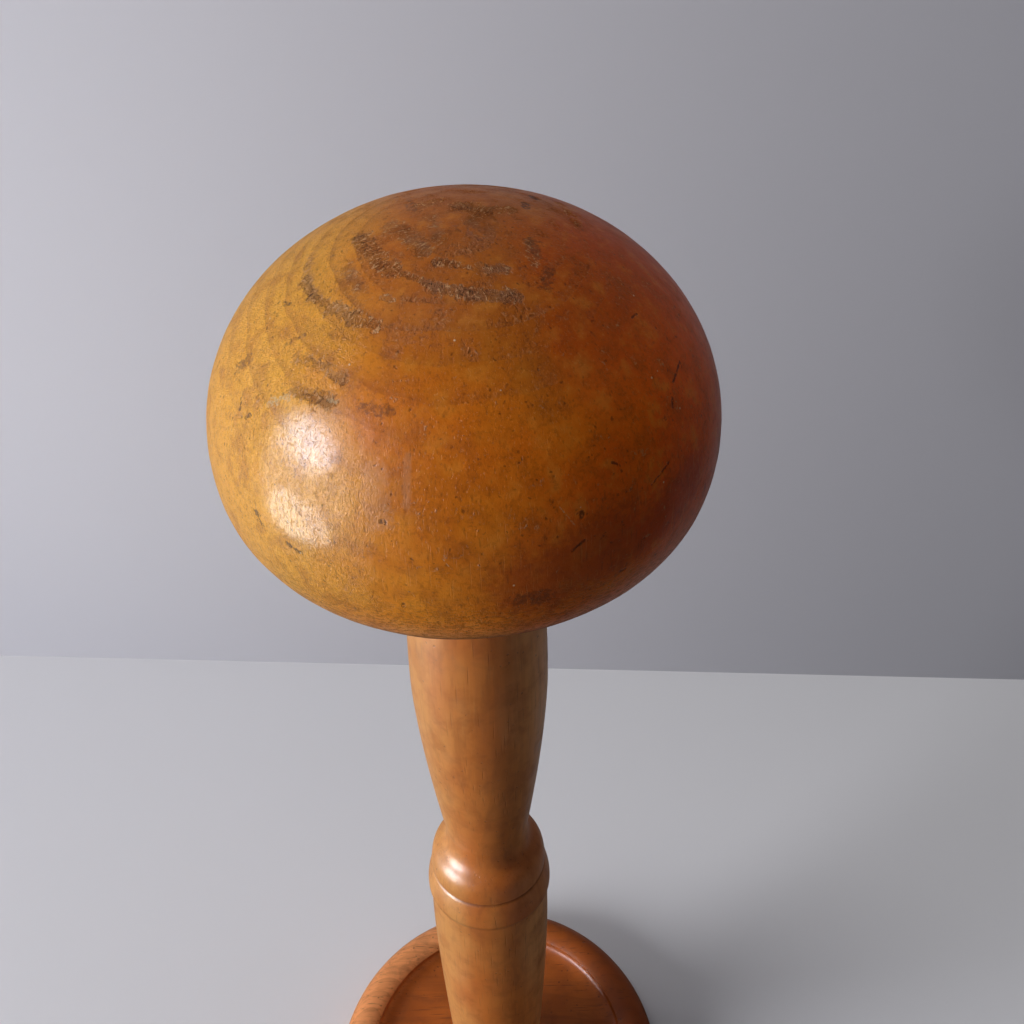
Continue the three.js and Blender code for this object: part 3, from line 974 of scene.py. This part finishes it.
def baseWood(w, place):
    rings, fibres, worn = grain(w, base, place, w.stretched(place, base["trunkTurn"], (1, 1, 1)))
    x, y, _ = w.parts(place)
    blotch = w.noise(place, 26.0, 3.0)
    rim = w.ease(w.math("SQRT", w.add(w.times(x, x), w.times(y, y))), 52.0, 58.0)
    tone = w.tinted(
        base["tones"], w.ease(blotch, 0.36, 0.66),
        # painted sheen on the left rim, painted shade on the right rim
        ("paintedSheenRim", rim, w.ease(x, 24.0, -30.0)),
        ("paintedShadeRim", rim, w.ease(x, 14.0, 50.0), 0.6),
        ("lateWood", rings["Late wood"], 0.4),
        ("streak", w.ease(fibres["Streaks"], 0.46, 0.68), 0.3),
        ("dirt", worn["Dirt"], 0.25),
        ("pore", fibres["Pores"], 0.5),
        ("pit", worn["Pits"], 0.6),
    )
    rough = w.add(0.38, w.sway(blotch, 0.25), w.times(worn["Dirt"], 0.12))
    coat = w.mix(worn["Dirt"], 0.14, 0.06)
    waves = w.noise(place, 5.0, 2.0)
    return {"Base Color": tone, "Roughness": rough, "Coat Weight": coat}, smoothSkin(w, fibres, worn, waves)


points, faces = turned(baseProfile(), base["segments"], throughHole=True)
addPiece("turned_base", basePoints(points), faces, woodMaterial(base, baseWood), "base")
print("base made:", len(points), "points")


# Wedge: a tapered slip of wood in the saw cut

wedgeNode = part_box("base_wedge")
wedge = {
    "halfWidth": wedgeNode[1].y,
    "halfBottom": wedgeNode[1].x,
    "squareness": 14,
    "round": 0.25 * mm,
    "segments": 120,
    "edgeSteps": 6,
    "lengthSteps": 24,
    "shader": {},
    "fibres": {"Size": 0.4, "Length": 16.0, "Pore share": 0.3},
    "tones": {"wood": ((168, 120, 76), (120, 78, 44)), "pore": (70, 44, 24)},
}


# A rounded oblong carried up Z: |x / a| ** n + |y / b| ** n = 1, with a falling evenly towards the tip,
# and both drawn in along a quarter circle at the two ends.
def wedgeSurface():
    low, high = wedgeNode[0].z, wedgeNode[1].z
    tipHalf = column["kerfWidth"] / 2 + float(spreadAt(high)) - glueGap
    angle = np.arange(wedge["segments"]) * 2 * np.pi / wedge["segments"]
    power = 2 / wedge["squareness"]
    across = np.sign(np.cos(angle)) * np.abs(np.cos(angle)) ** power
    along = np.sign(np.sin(angle)) * np.abs(np.sin(angle)) ** power
    edge = np.sin(np.linspace(0, np.pi / 2, wedge["edgeSteps"]))[1:]
    middle = np.linspace(0, 1, wedge["lengthSteps"])[1:-1]
    fall = 1 - np.sqrt(1 - edge ** 2)
    r = wedge["round"]
    inset = r * np.concatenate([[1.0], 1 - edge, 0 * middle, (1 - edge)[::-1], [1.0]])
    rise = np.concatenate([[low], low + r * fall, low + r + (high - low - 2 * r) * middle,
                           high - r * fall[::-1], [high]])
    a = (np.interp(rise, [low, high], [wedge["halfBottom"], tipHalf]) - inset)[:, None] * across
    b = (wedge["halfWidth"] - inset)[:, None] * along
    points = np.stack([a, b, rise[:, None] + 0 * a], axis=-1).reshape(-1, 3)
    return np.vstack([points, [[0, 0, low], [0, 0, high]]]), ringFaces(len(rise), wedge["segments"])


def wedgeWood(w, place):
    fibres = w.use(groups["woodFibres"], {"Vector": place, **wedge["fibres"]})
    tone = w.tinted(wedge["tones"], w.ease(fibres["Streaks"], 0.4, 0.65), ("pore", fibres["Pores"], 0.6))
    rough = w.add(0.6, w.times(fibres["Streaks"], 0.2))
    return {"Base Color": tone, "Roughness": rough}, w.times(fibres["Streaks"], 0.08)


points, faces = wedgeSurface()
addPiece("driven_wedge", points, faces, woodMaterial(wedge, wedgeWood), "base_wedge")
print("wedge made")


# Stage, light and camera

stage = {
    "reach": 3.0,
    "wallDistance": 0.2536,
    "wallTurn": math.radians(3.5),
    "floorSeen": ((229, 228, 233), (231, 230, 233)),  # left, right
    # the wall is painted darker to the right: painted shade where the light falls off and the stand's shadow
    # lies
    "wallSeen": ((230, 229, 237), (184, 183, 190)),
    "stain": (190, 190, 194),
    "fade": (-0.36, 0.34),  # from here to here the left colour gives way to the right one
    "bounce": 0.5,  # share of its colour with which the stage lights the object
    # the low share in front is a painted shadow on the floor as the polish shows it
    "floorMirrored": (0.05, 0.35),  # shares with which the polish shows it, in front and behind
    "wallMirrored": (0.42, 0.42),
    "behind": (0.0, 0.12),  # from here to here the first share gives way to the second
    "room": (214, 220, 230),
    "roomLight": 0.045,  # strengths of the room on the object, in its polish and for the camera
    "roomMirrored": 0.02,
    "roomSeen": 0.55,
}


# A flat stage piece whose colour goes from left to right and is dimmer in reflections and as a light.
def plane(name, corners, tones, mirrored):
    mesh = bpy.data.meshes.new(name)
    mesh.from_pydata(corners, [], [(0, 1, 2, 3)])
    thing = addObject(name, mesh)
    material = bpy.data.materials.new(name)
    material.use_nodes = True
    material.node_tree.nodes.clear()
    w = Wiring(material.node_tree)
    place = w.node("TexCoord").outputs["Object"]
    across, depth, _ = w.parts(place)
    paint = w.tint(w.ease(across, *stage["fade"]), *tones)
    paint = w.tint(w.times(w.noise(place, 0.3, 3.0), 0.06), paint, stage["stain"])
    path = w.node("LightPath").outputs
    share = w.mix(path["Is Glossy Ray"], stage["bounce"], w.mix(w.ease(depth, *stage["behind"]), *mirrored))
    dimmed = w.vector("SCALE", paint, scale=w.mix(path["Is Camera Ray"], share, 1.0))
    shader = w.node("BsdfDiffuse", {"Color": dimmed}).outputs[0]
    # open from behind and beneath, so that it hides nothing from there
    back = w.node("NewGeometry").outputs["Backfacing"]
    shader = w.node("MixShader", {0: back, 1: shader, 2: w.node("BsdfTransparent").outputs[0]}).outputs[0]
    w.plug(w.node("OutputMaterial").inputs["Surface"], shader)
    mesh.materials.append(material)


reach, wallY = stage["reach"], stage["wallDistance"]
tilt = reach * math.tan(stage["wallTurn"])
floorCorners = [(-reach, -reach, 0), (reach, -reach, 0), (reach, reach, 0), (-reach, reach, 0)]
wallCorners = [(-reach, wallY + tilt, 0), (reach, wallY - tilt, 0),
               (reach, wallY - tilt, reach), (-reach, wallY + tilt, reach)]
plane("floor", floorCorners, stage["floorSeen"], stage["floorMirrored"])
plane("wall", wallCorners, stage["wallSeen"], stage["wallMirrored"])

# Bearing, lift and spread in degrees, distance and size in metres, power in watts.
lamps = {
    "window": {"bearing": -111, "lift": 13, "distance": 2.2, "size": (1.15, 0.95), "power": 43,
               "colour": (0.96, 0.97, 1.0), "seenBy": ("diffuse", "glossy")},
    "sill": {"bearing": -100, "lift": -30, "distance": 0.6, "size": (0.34, 0.08), "power": 0.25,
             "colour": (1, 0.94, 0.8), "seenBy": ("diffuse",), "spread": 100},
    "sheen": {"bearing": -113, "lift": -19, "distance": 0.6, "size": (0.3, 0.22), "power": 2.9,
              "colour": (0.95, 1, 1), "seenBy": ("glossy",)},
    "curtain": {"bearing": -114, "lift": -2, "distance": 1.2, "size": (0.9, 1.6), "power": 22,
                "colour": (0.85, 0.95, 1.1), "seenBy": ("glossy",)},
    "pane": {"bearing": -114, "lift": 14, "distance": 2.2, "size": (0.85, 0.72), "power": 30,
             "colour": (0.85, 0.95, 1.15), "seenBy": ("glossy",)},
    "ceiling": {"bearing": -50, "lift": 72, "distance": 2.0, "size": (1.6, 1.6), "power": 29,
                "colour": (1, 0.99, 0.98), "seenBy": ("diffuse",)},
    "room": {"bearing": 90, "lift": 45, "distance": 2.0, "size": (1.6, 1.6), "power": 3.1,
             "colour": (1, 0.99, 0.98), "seenBy": ("diffuse",)},
}


# Bearings run from the back, so that 90 is to the right; the lift is above the head's widest circle.
def addLamp(name, lamp):
    turn, lift = math.radians(lamp["bearing"]), math.radians(lamp["lift"])
    way = Vector((math.sin(turn) * math.cos(lift), math.cos(turn) * math.cos(lift), math.sin(lift)))
    light = bpy.data.lights.new(name, "AREA")
    light.shape = "ELLIPSE"
    light.size, light.size_y = lamp["size"]
    light.energy = lamp["power"]
    light.color = lamp["colour"]
    light.spread = math.radians(lamp.get("spread", 180))
    holder = addObject(name, light)
    centre = Vector((0, 0, headEquator))
    aim = way.to_track_quat("Z", "Y").to_matrix().to_4x4()
    holder.matrix_world = Matrix.Translation(centre + way * lamp["distance"]) @ aim
    holder.visible_camera = False
    holder.visible_diffuse = "diffuse" in lamp["seenBy"]
    holder.visible_glossy = "glossy" in lamp["seenBy"]


for name, lamp in lamps.items():
    addLamp(name, lamp)

world = bpy.data.worlds.new("room")
world.use_nodes = True
background = world.node_tree.nodes["Background"]
background.inputs["Color"].default_value = colour(*stage["room"])
w = Wiring(world.node_tree)
path = w.node("LightPath").outputs
strength = w.mix(path["Is Glossy Ray"], stage["roomLight"], stage["roomMirrored"])
w.plug(background.inputs["Strength"], w.mix(path["Is Camera Ray"], strength, stage["roomSeen"]))
bpy.context.scene.world = world
print("stage and lamps set")

view = {
    "focal": 1027,  # pixels, across an image of imageWidth
    "place": (0.0117, -0.2262, 0.4739),
    "pitch": math.radians(36.07),  # below the horizon
    "roll": math.radians(1.23),
    "turn": math.radians(0.14),
}
camera = bpy.data.cameras.new("camera")
camera.sensor_width = sensorWidth
camera.lens = sensorWidth * view["focal"] / imageWidth
camera.clip_start = 0.01
cameraHolder = addObject("camera", camera)
cameraHolder.matrix_world = (
    Matrix.Translation(view["place"])
    @ Matrix.Rotation(view["turn"], 4, "Z")
    @ Matrix.Rotation(math.pi / 2 - view["pitch"], 4, "X")
    @ Matrix.Rotation(-view["roll"], 4, "Z")
)
bpy.context.scene.camera = cameraHolder
bpy.context.scene.view_settings.view_transform = "Standard"
print("camera set")
